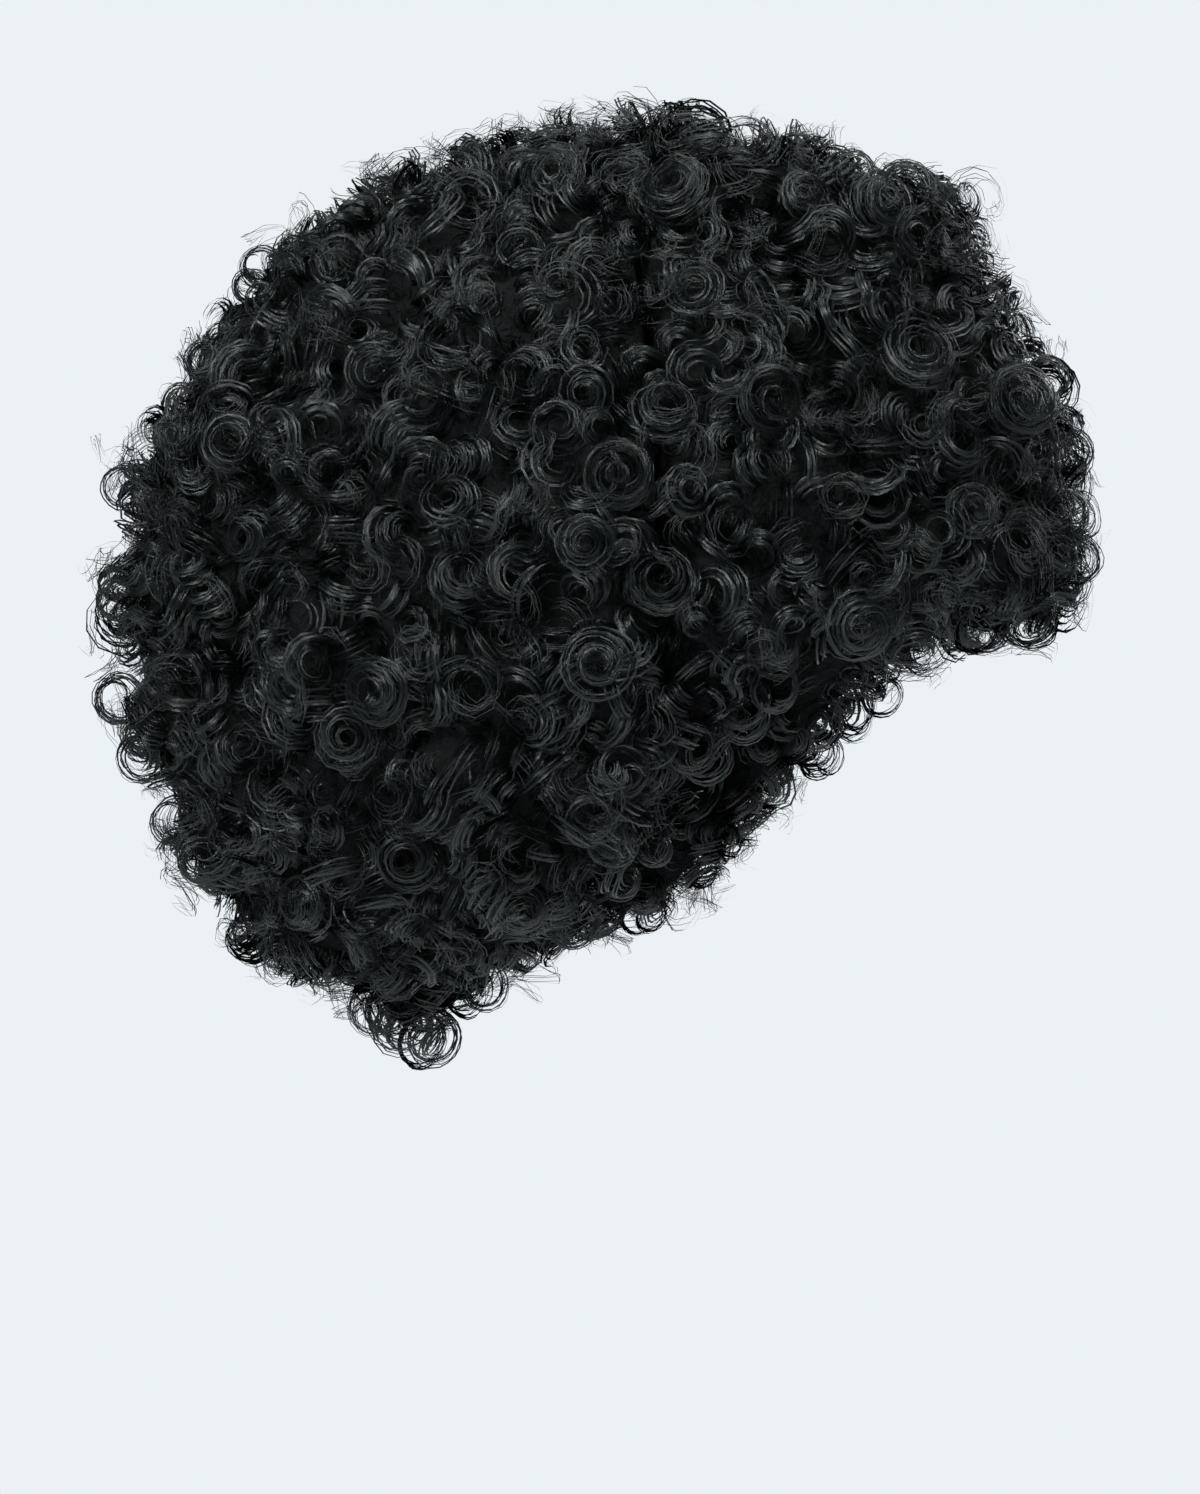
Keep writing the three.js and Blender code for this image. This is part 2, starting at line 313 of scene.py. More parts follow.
def tuft_tree():
    tree = Tree("tufts", {"Height": 28 * MM, "Fineness": 30.0, "Set Back": 0.0})
    position = tree.step("GeometryNodeInputPosition", {})
    outwards = tree.vectors("NORMALIZE", tree.vectors("SUBTRACT", position, tuple(BALL_CENTRE)))
    facing = tree.vectors("DOT_PRODUCT", outwards, tree.step("GeometryNodeInputNormal", {}))
    spread = {"Vector": position, "Scale": tree.given("Fineness"), "Detail": 1.0}
    rise = tree.maths("SUBTRACT", tree.step("ShaderNodeTexNoise", spread, "Fac"), 0.55)
    rise = tree.maths("MULTIPLY", rise, tree.given("Height"))
    rise = tree.maths("SUBTRACT", rise, tree.given("Set Back"))
    rise = tree.maths("MULTIPLY", rise, tree.maths("MAXIMUM", facing, 0.0))
    moved = {"Geometry": tree.given("Geometry"), "Offset": tree.scaled(outwards, rise)}
    tree.end(tree.step("GeometryNodeSetPosition", moved))
    return tree.group


TUFTS = tuft_tree()


def set_inputs(modifier, tree, sizes):
    modifier.node_group = tree
    for socket in tree.interface.items_tree:
        if socket.in_out == "INPUT" and socket.name in sizes:
            modifier[socket.identifier] = sizes[socket.name]


def even_skin(name, mesh, voxel, set_back):
    skin = bpy.data.objects.new(name, mesh)
    bpy.context.collection.objects.link(skin)
    remesh = skin.modifiers.new("remesh", "REMESH")
    remesh.mode = "VOXEL"
    remesh.voxel_size = voxel
    smooth = skin.modifiers.new("smooth", "SMOOTH")
    smooth.iterations = SMOOTHING
    smooth.factor = 0.6
    set_inputs(skin.modifiers.new("tufts", "NODES"), TUFTS, {"Set Back": set_back})
    made = bpy.data.meshes.new_from_object(skin.evaluated_get(bpy.context.evaluated_depsgraph_get()))
    skin.modifiers.clear()
    skin.data = made
    made.materials.clear()
    made.materials.append(DEPTH_FINISH)
    return skin


DEPTHS = {}
for name in ZONES:
    DEPTHS[name] = even_skin(name + "_depth", merged_copy([name]), DEPTH_VOXEL, DEPTH_SET_BACK)
print("depth:", sum(len(depth.data.polygons) for depth in DEPTHS.values()), "faces in all")

# %% [markdown]
# ## The skin that carries the curls
# If each zone scattered its own curls, a bare line would show where two zones meet. So all zones are
# merged into one skin first, whose voxels are wider than the gaps between them. Every zone then
# scatters over that whole skin with the same seed, and keeps only the curls that stand on its own
# share. A point of the skin belongs to the zone whose depth is nearest. Where the skin lies on the cap
# it gets no curls, so the hollow stays free. Below the cap's edge the hair hangs free, and there its
# inner side gets a thinner layer of them.

# %% Make the skin and share it out
SKIN_VOXEL = 5 * MM
HOLLOW_HALF = Vector((0.080, 0.099, 0.100))
LOWER_HALF = Vector((0.061, 0.075, 0))
HOLLOW_LEVEL = -0.098
LOWER_DROP = 0.112
CAP_EDGE = -0.135
CAP_ROOM = 1.13
INNER_SHARE = 0.45


def hollow_reach(point):
    if point.z > HOLLOW_LEVEL:
        half, level = HOLLOW_HALF, (point.z - HOLLOW_LEVEL) / HOLLOW_HALF.z
    else:
        share = min((HOLLOW_LEVEL - point.z) / LOWER_DROP, 1)
        half, level = HOLLOW_HALF.lerp(LOWER_HALF, share * share * (3 - 2 * share)), 0
    return math.sqrt((point.x / half.x) ** 2 + (point.y / half.y) ** 2 + level**2)


def search_tree(item):
    return BVHTree.FromObject(item, bpy.context.evaluated_depsgraph_get())


DEPTH_TREES = {name: search_tree(depth) for name, depth in DEPTHS.items()}


def zone_at(point):
    return min(ZONES, key=lambda name: DEPTH_TREES[name].find_nearest(point)[3])


def share_out(skin):
    for name in ZONES:
        skin.data.attributes.new(name, "FLOAT", "POINT")
    for vertex in skin.data.vertices:
        share = 1
        if hollow_reach(vertex.co) < CAP_ROOM:
            share = INNER_SHARE if vertex.co.z < CAP_EDGE else 0
        skin.data.attributes[zone_at(vertex.co)].data[vertex.index].value = share


SKIN = even_skin("skin", merged_copy(ZONES), SKIN_VOXEL, 0)
share_out(SKIN)
SKIN_TREE = search_tree(SKIN)
SKIN.hide_render = True
print("skin:", len(SKIN.data.polygons), "faces")

# %% [markdown]
# ## One curl
# A real curl is a bundle of fibres wound round one axis. Seen from its end it shows rings in rings
# round a dark middle, and from the side it is a short spring. Each strand of the bundle is a helix. The
# strands of one curl share the axis, and differ in radius, height and phase. Their tips turn inwards,
# so the curl ends round and not in spikes. Each strand is a thin ribbon that leans between facing
# outwards and facing along the axis, so that it shows from both sides.
#
# The first steps scatter points over the skin and give each point its curl's axis, size and turns.

# %% The steps that scatter the curls
SMALLEST_CURL = 0.77
LARGER_BY = 0.62
LARGE_ARE_RARE = 2.2


def scatter_steps(tree):
    seed = tree.given("Seed")
    scatter = tree.group.nodes.new("GeometryNodeDistributePointsOnFaces")
    scatter.distribute_method = "POISSON"
    tree.fill(scatter.inputs["Mesh"], tree.given("Geometry"))
    tree.fill(scatter.inputs["Distance Min"], tree.given("Spacing"))
    tree.fill(scatter.inputs["Density Max"], 60000.0)
    tree.fill(scatter.inputs["Density Factor"], tree.kept(tree.given("Share")))
    tree.fill(scatter.inputs["Seed"], seed)
    growth = scatter.outputs["Normal"]
    lean = tree.scaled(tree.random((-1.0,) * 3, (1.0,) * 3, seed), tree.given("Lean"))
    axis = tree.vectors("NORMALIZE", tree.vectors("ADD", growth, lean))
    points = tree.keep(scatter.outputs["Points"], "axis", axis, "FLOAT_VECTOR")
    across = tree.vectors("CROSS_PRODUCT", tree.kept("axis", "FLOAT_VECTOR"),
                          tree.random((-1.0,) * 3, (1.0,) * 3, tree.maths("ADD", seed, 1)))
    points = tree.keep(points, "side", tree.vectors("NORMALIZE", across), "FLOAT_VECTOR")
    position = tree.step("GeometryNodeInputPosition", {})
    points = tree.keep(points, "home", position, "FLOAT_VECTOR")
    size = tree.random(0.0, 1.0, tree.maths("ADD", seed, 2))
    size = tree.maths("POWER", size, LARGE_ARE_RARE)
    size = tree.maths("MULTIPLY_ADD", size, LARGER_BY, SMALLEST_CURL)
    points = tree.keep(points, "size", size)
    turns = tree.random(0.75, 1.25, tree.maths("ADD", seed, 3))
    points = tree.keep(points, "turns", tree.maths("DIVIDE", turns, tree.maths("SQRT", tree.kept("size"))))
    points = tree.keep(points, "phase", tree.random(0.0, FULL_TURN, tree.maths("ADD", seed, 4)))
    hand = tree.maths("SIGN", tree.random(-1.0, 1.0, tree.maths("ADD", seed, 5)))
    points = tree.keep(points, "hand", hand)
    return tree.keep(points, "rise", tree.random(0.55, 1.15, tree.maths("ADD", seed, 6)))


# %% [markdown]
# The next steps double each point once for each strand, and bend a straight line into that strand's
# helix.

# %% The steps that wind the strands
def strand_steps(tree, points):
    seed = tree.given("Seed")
    doubled = {"Geometry": points, "Amount": tree.given("Strands")}
    strands = tree.step("GeometryNodeDuplicateElements", doubled, domain="POINT")
    strands = tree.keep(strands, "ring", tree.random(tree.given("Inner"), 1.08, tree.maths("ADD", seed, 7)))
    strands = tree.keep(strands, "lift", tree.random(-0.16, 0.16, tree.maths("ADD", seed, 8)))
    strands = tree.keep(strands, "lag", tree.random(-0.45, 0.45, tree.maths("ADD", seed, 9)))
    strands = tree.keep(strands, "cant", tree.random(0.35, 1.3, tree.maths("ADD", seed, 10)))
    strands = tree.keep(strands, "tone", tree.random(0.1, 1.0, tree.maths("ADD", seed, 11)))
    line = tree.step("GeometryNodeCurvePrimitiveLine", {"End": (0.0, 0.0, 1.0 * MM)})
    line = tree.step("GeometryNodeResampleCurve", {"Curve": line, "Count": tree.given("Steps")})
    placed = tree.step("GeometryNodeInstanceOnPoints", {"Points": strands, "Instance": line})
    curves = tree.step("GeometryNodeRealizeInstances", {"Geometry": placed})
    factor = tree.step("GeometryNodeSplineParameter", {}, "Factor")
    curves = tree.keep(curves, "along", factor)
    along = tree.kept("along")

    # the helix
    turned = tree.maths("MULTIPLY", tree.kept("turns"), tree.given("Turns"))
    spin = tree.maths("MULTIPLY", turned, FULL_TURN)
    angle = tree.maths("MULTIPLY_ADD", along, spin, tree.maths("ADD", tree.kept("phase"), tree.kept("lag")))
    angle = tree.maths("MULTIPLY", angle, tree.kept("hand"))
    ring = tree.maths("MULTIPLY", tree.kept("size"), tree.kept("ring"))
    radius = tree.maths("MULTIPLY", tree.given("Radius"), ring)
    closing = tree.maths("MULTIPLY_ADD", tree.maths("POWER", along, 4), -0.5, 1.05)
    radius = tree.maths("MULTIPLY", radius, closing)
    axis = tree.kept("axis", "FLOAT_VECTOR")
    side = tree.kept("side", "FLOAT_VECTOR")
    other = tree.vectors("CROSS_PRODUCT", axis, side)
    outwards = tree.vectors("ADD", tree.scaled(side, tree.maths("COSINE", angle)),
                            tree.scaled(other, tree.maths("SINE", angle)))
    height = tree.maths("ADD", tree.maths("MULTIPLY", along, tree.kept("rise")), tree.kept("lift"))
    height = tree.maths("MULTIPLY", height, tree.maths("MULTIPLY", tree.given("Rise"), tree.kept("size")))
    height = tree.maths("SUBTRACT", height, tree.given("Sink"))
    place = tree.vectors("ADD", tree.kept("home", "FLOAT_VECTOR"), tree.scaled(axis, height))
    place = tree.vectors("ADD", place, tree.scaled(outwards, radius))
    frizz = tree.maths("MULTIPLY", tree.kept("tone"), tree.given("Frizz"))
    unrest = {"Vector": place, "Scale": 70.0, "Detail": 1.0, "W": frizz}
    noise = tree.step("ShaderNodeTexNoise", unrest, "Color", noise_dimensions="4D")
    noise = tree.vectors("SUBTRACT", noise, (0.5, 0.5, 0.5))
    place = tree.vectors("ADD", place, tree.scaled(noise, tree.maths("MULTIPLY", tree.given("Wobble"), 2)))
    curves = tree.step("GeometryNodeSetPosition", {"Geometry": curves, "Position": place})

    # the ribbon, thin at both ends
    facing = tree.vectors("ADD", tree.scaled(outwards, tree.maths("COSINE", tree.kept("cant"))),
                          tree.scaled(axis, tree.maths("SINE", tree.kept("cant"))))
    curves = tree.keep(curves, "facing", facing, "FLOAT_VECTOR")
    curves = tree.step("GeometryNodeSetCurveNormal",
                       {"Curve": curves, "Normal": tree.kept("facing", "FLOAT_VECTOR")}, mode="FREE")
    taper = tree.maths("SINE", tree.maths("MULTIPLY", along, math.pi))
    taper = tree.maths("MULTIPLY_ADD", tree.maths("POWER", tree.maths("ABSOLUTE", taper), 0.4), 0.85, 0.15)
    width = tree.maths("MULTIPLY", tree.given("Width"), taper)
    edges = {"Start": (0.0, -0.5, 0.0), "End": (0.0, 0.5, 0.0)}
    profile = tree.step("GeometryNodeCurvePrimitiveLine", edges)
    profile = tree.keep(profile, "across", tree.step("GeometryNodeSplineParameter", {}, "Factor"))
    swept = {"Curve": curves, "Profile Curve": profile, "Scale": width}
    ribbons = tree.step("GeometryNodeCurveToMesh", swept)
    ribbons = tree.step("GeometryNodeSetMaterial", {"Geometry": ribbons, "Material": tree.given("Finish")})
    tree.end(tree.step("GeometryNodeSetShadeSmooth", {"Geometry": ribbons}))


# %% [markdown]
# The same steps make the curls and the stray hairs, with other sizes. A stray is a single fine hair
# that leaves the curls in a wide open loop. Several thousand of them make the soft halo round the wig.

# %% The trees of curls and strays
def hair_tree(name, sizes):
    tree = Tree(name, sizes)
    strand_steps(tree, scatter_steps(tree))
    return tree.group


CURLS = hair_tree("curls", {
    "Share": "", "Spacing": 10.4 * MM, "Radius": 8.6 * MM, "Rise": 13 * MM, "Sink": 5 * MM, "Turns": 1.6,
    "Strands": 11, "Steps": 19, "Width": 0.74 * MM, "Lean": 1.25, "Wobble": 1.5 * MM,
    "Seed": 1, "Inner": 0.38, "Frizz": 0.8, "Finish": CURL_FINISH,
})
STRAYS = hair_tree("strays", {
    "Share": "", "Spacing": 14.5 * MM, "Radius": 7.5 * MM, "Rise": 13 * MM, "Sink": -5 * MM, "Turns": 1.35,
    "Strands": 7, "Steps": 13, "Width": 0.24 * MM, "Lean": 1.4, "Wobble": 4.5 * MM,
    "Seed": 31, "Inner": 0.5, "Frizz": 6.0, "Finish": STRAY_FINISH,
})
print("the tree of curls has", len(CURLS.nodes), "nodes")

# %% [markdown]
# A tree works through a modifier on a copy of the skin. Its inputs are set by their identifiers. Then
# the result is taken out as a plain mesh, and the modifier is removed. The attributes that only the
# tree needed are removed too. The finishes still need three: the place along the strand, the place
# across it, and the strand's tone.

# %% Grow the curls of one zone
SHOWN = ("along", "across", "tone", "position")


def grow(mesh, tree, name, **sizes):
    grower = bpy.data.objects.new(name, mesh)
    bpy.context.collection.objects.link(grower)
    set_inputs(grower.modifiers.new("grow", "NODES"), tree, sizes)
    grower.update_tag()
    made = bpy.data.meshes.new_from_object(grower.evaluated_get(bpy.context.evaluated_depsgraph_get()))
    grower.modifiers.clear()
    grower.data = made
    for label in [a.name for a in made.attributes if a.data_type.startswith("FLOAT")]:
        if label not in SHOWN:
            made.attributes.remove(made.attributes[label])
    return grower


CURLY = {}
for name in ZONES:
    CURLY[name] = [
        grow(SKIN.data.copy(), CURLS, name + "_curls", Share=name, Seed=7),
        grow(SKIN.data.copy(), STRAYS, name + "_strays", Share=name, Seed=43),
    ]
    counts = [sum(len(p.vertices) - 2 for p in part.data.polygons) for part in CURLY[name] + [DEPTHS[name]]]
    print(name, "has", counts, "triangles in curls, strays and depth,", sum(counts), "in all")

# %% [markdown]
# ## The camera
# The photograph is a level side view, a little ahead of square. Its scale and the pixel of the cap's
# seat are known from the measuring, so the camera follows from them. It comes here because some curls
# are placed through it.

# %% Set the camera
AZIMUTH = math.radians(282)
DISTANCE = 1.8
PHOTO_SIZE = (1200, 1494)
PX_PER_M = 2900
SEAT_PX = (665, 300)
BACK = Vector((math.sin(AZIMUTH), -math.cos(AZIMUTH), 0))
RIGHT = Vector((math.cos(AZIMUTH), math.sin(AZIMUTH), 0))

target = RIGHT * (PHOTO_SIZE[0] / 2 - SEAT_PX[0]) / PX_PER_M
target.z = (SEAT_PX[1] - PHOTO_SIZE[1] / 2) / PX_PER_M
camera = bpy.data.objects.new("camera", bpy.data.cameras.new("camera"))
bpy.context.collection.objects.link(camera)
camera.location = target + BACK * DISTANCE
camera.rotation_euler = (-BACK).to_track_quat("-Z", "Y").to_euler()
camera.data.sensor_width = 36
camera.data.lens = camera.data.sensor_width * DISTANCE * PX_PER_M / PHOTO_SIZE[1]
bpy.context.scene.camera = camera
print("camera at", [round(c, 3) for c in camera.location], "lens", round(camera.data.lens, 1))

# %% [markdown]
# ## Curls placed one by one
# Some curls stand out by themselves. Large rosettes lie on top of the side. Open ringlets hang from the
# lower edges at the temple, the side and the nape, and stand out along the back and over the forehead.
# Each is a row: its pixel in the photograph, its radius and its length in millimetres, and its turns.
# Its place is found on the near half of the skin under that pixel. So it sits on the hair that carries
# it, seen from any side. The rosettes belong to this side only, and the ringlets are mirrored.

# %% Rows of placed curls
ROSETTES = [
    (470, 215, 13.5, 10, 1.85), (690, 205, 12.5, 9, 1.85), (865, 215, 12, 9, 1.65), (700, 305, 10, 9, 1.5),
    (545, 370, 9.5, 8, 1.65), (370, 370, 9, 8, 1.65), (755, 400, 11, 9, 1.85), (660, 425, 11, 8, 1.85),
    (910, 365, 13, 8, 1.85), (1010, 410, 12, 8, 1.85), (620, 480, 11, 8, 2), (235, 450, 10.5, 9, 1.65),
    (455, 515, 9.5, 8, 1.65), (660, 590, 12, 8, 2.15), (395, 685, 12, 8, 1.85), (355, 735, 10.5, 8, 2),
    (600, 665, 11.5, 9, 1.65), (845, 620, 11, 9, 1.65), (905, 625, 10.5, 9, 1.65), (580, 545, 9, 8, 1.65),
    (410, 850, 11, 8, 1.85), (330, 900, 11, 8, 1.65), (560, 185, 10, 8, 1.65), (960, 520, 10, 8, 1.65),
]
RINGLETS = [
    (770, 735, 9, 7, 1.3), (720, 770, 8, 7, 1.4), (690, 745, 8, 9, 1.5), (740, 700, 8.5, 9, 1.6),
    (775, 690, 8, 8, 1.5), (650, 740, 8.5, 9, 1.6), (620, 770, 8, 8, 1.4), (590, 820, 8, 8, 1.4),
    (570, 920, 8.5, 7, 1.3), (520, 905, 9, 8, 1.5), (480, 985, 9, 7, 1.4), (430, 1035, 10, 7, 1.3),
    (375, 1010, 9, 7, 1.4), (1030, 620, 9, 7, 1.3), (985, 640, 8, 7, 1.3), (1075, 560, 8.5, 7, 1.4),
    (255, 262, 7, 8, 1.6), (246, 284, 6, 7, 1.4), (266, 300, 6, 7, 1.4), (212, 362, 8, 9, 1.6),
    (183, 405, 6.5, 8, 1.5), (128, 486, 7.5, 8, 1.5), (120, 600, 7.5, 9, 1.6), (122, 700, 9, 9, 1.7),
    (146, 755, 8.5, 8, 1.3), (178, 820, 8, 8, 1.4), (203, 862, 8, 9, 1.6), (1084, 450, 8.5, 8, 1.4),
    (1064, 515, 8, 8, 1.4), (1045, 380, 7.5, 8, 1.4), (745, 150, 10, 9, 1.5), (850, 175, 8, 8, 1.4),
    (905, 190, 9, 8, 1.5), (630, 888, 6.5, 7, 1.3), (655, 850, 6, 7, 1.2),
]
print(len(ROSETTES), "rosettes and", len(RINGLETS), "ringlets")

# %% [markdown]
# A pixel is a line from the camera. The search walks along it in small steps, and asks for the skin's
# nearest point each time. It stops where the line touches the skin. At the outline the line passes by,
# so the curl goes to the point that it passes closest, and stands out from there.

# %% Find the place of a pixel on the near half of the skin
NEAR_HALF = 0.015
TOUCH = 2.5 * MM
PLACED_RADIUS = 8.6 * MM
PLACED_RISE = 14 * MM
PHASE_PER_PIXEL = 0.37
STAND_OUT = 0.8
LOOKS = 300
FIRST_LOOK = 0.3
LOOK_STEP_MM = 2


def under_pixel(x, y):
    """The first point of the pixel's line that touches the skin, or else the one that passes it closest."""
    through = RIGHT * (x - SEAT_PX[0]) / PX_PER_M + Vector((0, 0, (SEAT_PX[1] - y) / PX_PER_M))
    line = (through - camera.location).normalized()
    best = None
    for step in range(LOOKS):
        point = camera.location + line * (DISTANCE - FIRST_LOOK + step * LOOK_STEP_MM * MM)
        if point.x > NEAR_HALF:
            break
        spot, normal, _, gap = SKIN_TREE.find_nearest(point)
        if best is None or gap < best[0]:
            best = (gap, point, spot, normal)
        if gap < TOUCH:
            break
    return best


def placed_curls(rows, lift, towards_camera, mirrored):
    made = {name: [] for name in ZONES}
    for x, y, radius, length, turns in rows:
        gap, point, spot, normal = under_pixel(x, y)
        centre = spot + (point - spot).normalized() * min(gap, STAND_OUT * radius * MM) + normal * lift
        axis = (normal.lerp(BACK, towards_camera)).normalized()
        size = radius * MM / PLACED_RADIUS
        rise = length * MM / (PLACED_RISE * size)
        row = [centre, axis, size, turns, rise, (x * PHASE_PER_PIXEL) % FULL_TURN]
        made[zone_at(spot)].append(row)
        if mirrored:
            flip = Vector((-1, 1, 1))
            made[zone_at(spot * flip)].append([centre * flip, axis * flip] + row[2:])
    return made


def seed_mesh(rows):
    mesh = bpy.data.meshes.new("seeds")
    mesh.from_pydata([row[0] for row in rows], [], [])
    vectors = {
        "home": [row[0] for row in rows],
        "axis": [row[1] for row in rows],
        "side": [row[1].orthogonal().normalized() for row in rows],
    }
    for name, values in vectors.items():
        mesh.attributes.new(name, "FLOAT_VECTOR", "POINT").data.foreach_set("vector", np.ravel(values))
    values = {}
    for place, name in enumerate(("size", "turns", "rise", "phase"), start=2):
        values[name] = [row[place] for row in rows]
    values["hand"] = [1 if number % 2 else -1 for number in range(len(rows))]
    for name, numbers in values.items():
        mesh.attributes.new(name, "FLOAT", "POINT").data.foreach_set("value", numbers)
    return mesh


def placed_tree(name, sizes):
    tree = Tree(name, sizes)
    strand_steps(tree, tree.step("GeometryNodeMeshToPoints", {"Mesh": tree.given("Geometry")}))
    return tree.group


ROSETTE_TREE = placed_tree("rosettes", {
    "Radius": PLACED_RADIUS, "Rise": PLACED_RISE, "Sink": 1 * MM, "Turns": 1.0, "Strands": 15, "Steps": 25,
    "Width": 0.65 * MM, "Wobble": 1.6 * MM, "Seed": 3, "Inner": 0.28, "Frizz": 1.0, "Finish": CURL_FINISH,
})
RINGLET_TREE = placed_tree("ringlets", {
    "Radius": PLACED_RADIUS, "Rise": PLACED_RISE, "Sink": 3 * MM, "Turns": 1.0, "Strands": 9, "Steps": 25,
    "Width": 0.6 * MM, "Wobble": 2 * MM, "Seed": 5, "Inner": 0.76, "Frizz": 1.2, "Finish": CURL_FINISH,
})
for tree, placed in (
    (ROSETTE_TREE, placed_curls(ROSETTES, 6 * MM, 0.45, False)),
    (RINGLET_TREE, placed_curls(RINGLETS, 1 * MM, 0.8, True)),
):
    for name, rows in placed.items():
        if rows:
            CURLY[name].append(grow(seed_mesh(rows), tree, name + "_placed"))
    print(tree.name, {name: len(rows) for name, rows in placed.items() if rows})

# %% [markdown]
# ## One piece for each zone
# A zone's curls, strays, placed curls and depth become one object. It rides on the wig's only body, and
# stands for the plain solid of that zone, which stays for the simulation.

# %% Join each zone and put it in place of its solid
def join_objects(name, parts):
    with bpy.context.temp_override(active_object=parts[0], selected_editable_objects=parts):
        bpy.ops.object.join()
    parts[0].name = name
    parts[0].data.name = name
    return parts[0]


for name in ZONES:
    piece = join_objects(name.replace("hair", "curls"), CURLY[name] + [DEPTHS[name]])
    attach(piece, "root")
    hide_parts(name)
    print(piece.name, sum(len(p.vertices) - 2 for p in piece.data.polygons), "triangles")
bpy.data.objects.remove(SKIN)

# %% [markdown]
# ## The cap and its rim
# Inside, the wig is a cap of black stretch net. Rows of hair are sewn on it, and each row shows inside
# as a narrow raised band. The rim is a woven elastic. The net and the elastic are the same effect in
# two sizes: rows round the cap, and threads across them. So one shader group makes both from the place
# on the cap.

# %% A shader group for rows and threads
def woven_group():
    sizes = {"Place": (0.0, 0.0, 0.0), "Row": 9 * MM, "Thread": 1.2 * MM, "Round": 80 * MM}
    group, given, made = shader_group("woven_rows", sizes, ["Rows", "Threads"])
    parts = group.nodes.new("ShaderNodeSeparateXYZ")
    join(group, given.outputs["Place"], parts.inputs["Vector"])

    def maths(operation, *values):
        node = group.nodes.new("ShaderNodeMath")
        node.operation = operation
        for socket, value in zip(node.inputs, values):
            if isinstance(value, bpy.types.NodeSocket):
                join(group, value, socket)
            else:
                socket.default_value = value
        return node.outputs["Value"]

    def ripple(distance, period):
        turn = maths("MULTIPLY", maths("DIVIDE", distance, period), FULL_TURN)
        return maths("MULTIPLY_ADD", maths("SINE", turn), 0.5, 0.5)

    angle = maths("ARCTAN2", parts.outputs["X"], parts.outputs["Y"])
    rows = ripple(parts.outputs["Z"], given.outputs["Row"])
    join(group, maths("POWER", rows, 4), made.inputs["Rows"])
    threads = ripple(maths("MULTIPLY", angle, given.outputs["Round"]), given.outputs["Thread"])
    crossed = ripple(parts.outputs["Z"], given.outputs["Thread"])
    join(group, maths("MULTIPLY", threads, crossed), made.inputs["Threads"])
    return group


WOVEN = woven_group()
print("the woven group has", len(WOVEN.nodes), "nodes")

# %% [markdown]
# The cap and the rim keep their solids. Each gets its own row, thread and depth, and some fluff from a
# noise, so that the rows don't look printed.

# %% Finish the cap and the rim
def woven_material(name, row, thread, dark, light, roughness, height):
    material, nodes, shader, link = new_material(name)
    where = nodes.new("ShaderNodeTexCoord")
    woven = nodes.new("ShaderNodeGroup")
    woven.node_tree = WOVEN
    woven.inputs["Row"].default_value = row
    woven.inputs["Thread"].default_value = thread
    link(where.outputs["Object"], woven.inputs["Place"])
    both = nodes.new("ShaderNodeMath")
    both.operation = "MULTIPLY_ADD"
    both.inputs[1].default_value = 0.5
    link(woven.outputs["Threads"], both.inputs[0])
    link(woven.outputs["Rows"], both.inputs[2])
    fluff = nodes.new("ShaderNodeTexNoise")
    fluff.inputs["Scale"].default_value = 300
    fluff.inputs["Detail"].default_value = 4
    link(where.outputs["Object"], fluff.inputs["Vector"])
    mixed = nodes.new("ShaderNodeMath")
    mixed.operation = "MULTIPLY"
    mixed.use_clamp = True
    link(both.outputs["Value"], mixed.inputs[0])
    link(fluff.outputs["Fac"], mixed.inputs[1])
    colour = nodes.new("ShaderNodeMix")
    colour.data_type = "RGBA"
    colour.inputs[6].default_value = (*dark, 1)
    colour.inputs[7].default_value = (*light, 1)
    link(mixed.outputs["Value"], colour.inputs["Factor"])
    link(colour.outputs[2], shader.inputs["Base Color"])
    bump = nodes.new("ShaderNodeBump")
    bump.inputs["Strength"].default_value = 0.9
    bump.inputs["Distance"].default_value = height
    link(both.outputs["Value"], bump.inputs["Height"])
    link(bump.outputs["Normal"], shader.inputs["Normal"])
    rough = nodes.new("ShaderNodeMapRange")
    rough.inputs["To Min"].default_value = roughness + 0.1
    rough.inputs["To Max"].default_value = roughness - 0.1
    link(mixed.outputs["Value"], rough.inputs["Value"])
    link(rough.outputs["Result"], shader.inputs["Roughness"])
    shader.inputs["Specular IOR Level"].default_value = 0.3
    return material


NET_DARK = (0.004, 0.004, 0.0045)
NET_LIGHT = (0.06, 0.06, 0.065)
BAND_DARK = (0.006, 0.006, 0.0065)
BAND_LIGHT = (0.05, 0.05, 0.054)
NET = woven_material("cap_net", 9 * MM, 1.3 * MM, NET_DARK, NET_LIGHT, 0.7, 0.6 * MM)
ELASTIC = woven_material("cap_elastic", 1.6 * MM, 0.8 * MM, BAND_DARK, BAND_LIGHT, 0.6, 0.3 * MM)
for name, finish in (("cap", NET), ("cap_rim", ELASTIC)):
    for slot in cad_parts[name].material_slots:
        slot.material = finish
print("the cap and the rim are finished")

# %% [markdown]
# ## Floor and light
# The photograph is lit softly from all round, on a pale ground. Four wide lamps and a dim room do the
# same here. The floor glows a little for the camera alone, so that it looks pale and puts no more light
# on the hair.

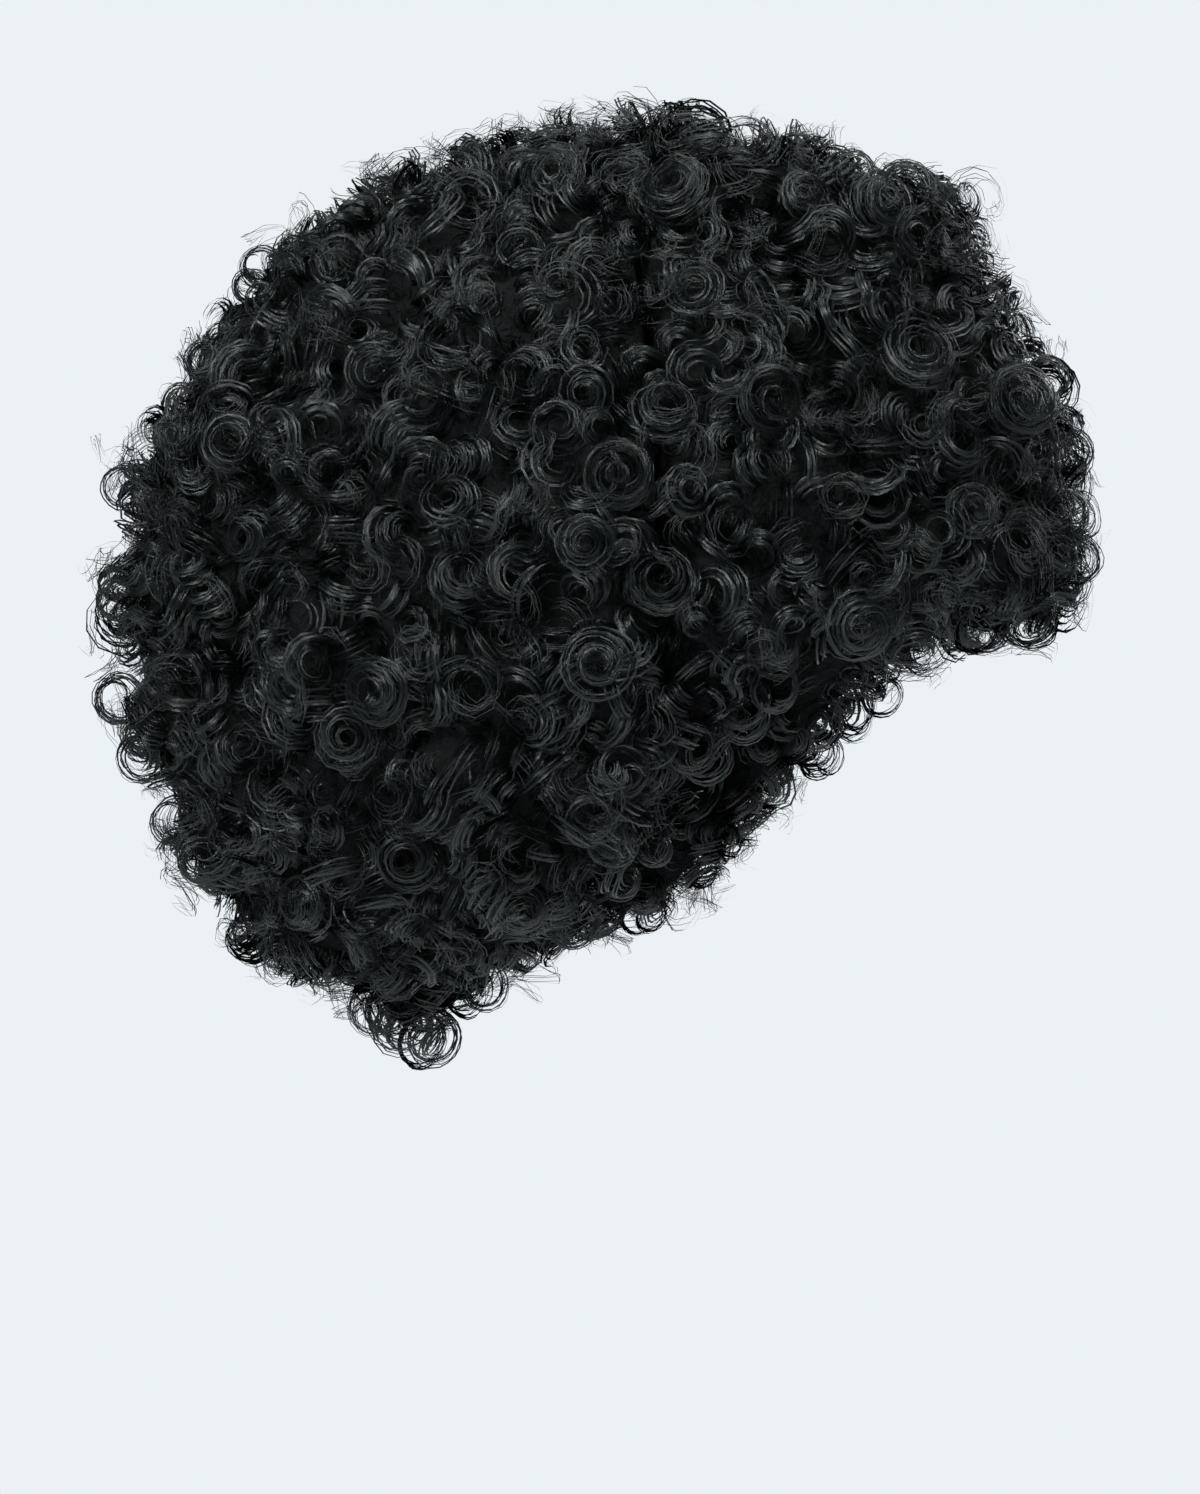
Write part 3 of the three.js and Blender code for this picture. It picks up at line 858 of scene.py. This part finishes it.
# %% Floor and light
FLOOR_LEVEL = -0.75
FLOOR_RADIUS = 1.9
FLOOR_GLOW = 0.12
ROOM_COLOUR = (0.83, 0.88, 0.915, 1)
ROOM_LIGHT = 0.18
LAMP_COLOUR = (0.93, 1.0, 1.0)
LAMP_DISTANCE = 1.6

bpy.ops.mesh.primitive_circle_add(
    vertices=96, radius=FLOOR_RADIUS, fill_type="NGON", location=(0, 0, FLOOR_LEVEL)
)
floor = bpy.context.object
floor.name = "floor"
floor_finish, nodes, shader, link = new_material("pale_floor")
shader.inputs["Base Color"].default_value = (0.86, 0.9, 0.93, 1)
shader.inputs["Emission Color"].default_value = ROOM_COLOUR
own_light = nodes.new("ShaderNodeLightPath")
glow = nodes.new("ShaderNodeMath")
glow.operation = "MULTIPLY"
glow.inputs[1].default_value = FLOOR_GLOW
link(own_light.outputs["Is Camera Ray"], glow.inputs[0])
link(glow.outputs["Value"], shader.inputs["Emission Strength"])
shader.inputs["Roughness"].default_value = 0.6
floor.data.materials.append(floor_finish)

world = bpy.data.worlds.new("studio")
bpy.context.scene.world = world
world.use_nodes = True
background = world.node_tree.nodes["Background"]
background.inputs["Color"].default_value = ROOM_COLOUR
seen = world.node_tree.nodes.new("ShaderNodeLightPath")
dimmed = world.node_tree.nodes.new("ShaderNodeMapRange")
dimmed.inputs["To Min"].default_value = ROOM_LIGHT
world.node_tree.links.new(seen.outputs["Is Camera Ray"], dimmed.inputs["Value"])
world.node_tree.links.new(dimmed.outputs["Result"], background.inputs["Strength"])
bpy.context.scene.view_settings.view_transform = "Standard"


def soft_light(name, azimuth, elevation, size, power):
    turn, rise = math.radians(azimuth), math.radians(elevation)
    away = Vector((math.sin(turn) * math.cos(rise), -math.cos(turn) * math.cos(rise), math.sin(rise)))
    light = bpy.data.objects.new(name, bpy.data.lights.new(name, "AREA"))
    bpy.context.collection.objects.link(light)
    light.data.size = size
    light.data.energy = power
    light.data.color = LAMP_COLOUR
    light.location = BALL_CENTRE + away * LAMP_DISTANCE
    light.rotation_euler = away.to_track_quat("Z", "Y").to_euler()


soft_light("key", 305, 40, 0.6, 22)
soft_light("fill", 245, 22, 0.6, 24)
soft_light("left", 75, 15, 0.8, 6)
soft_light("top", 100, 75, 0.9, 7)
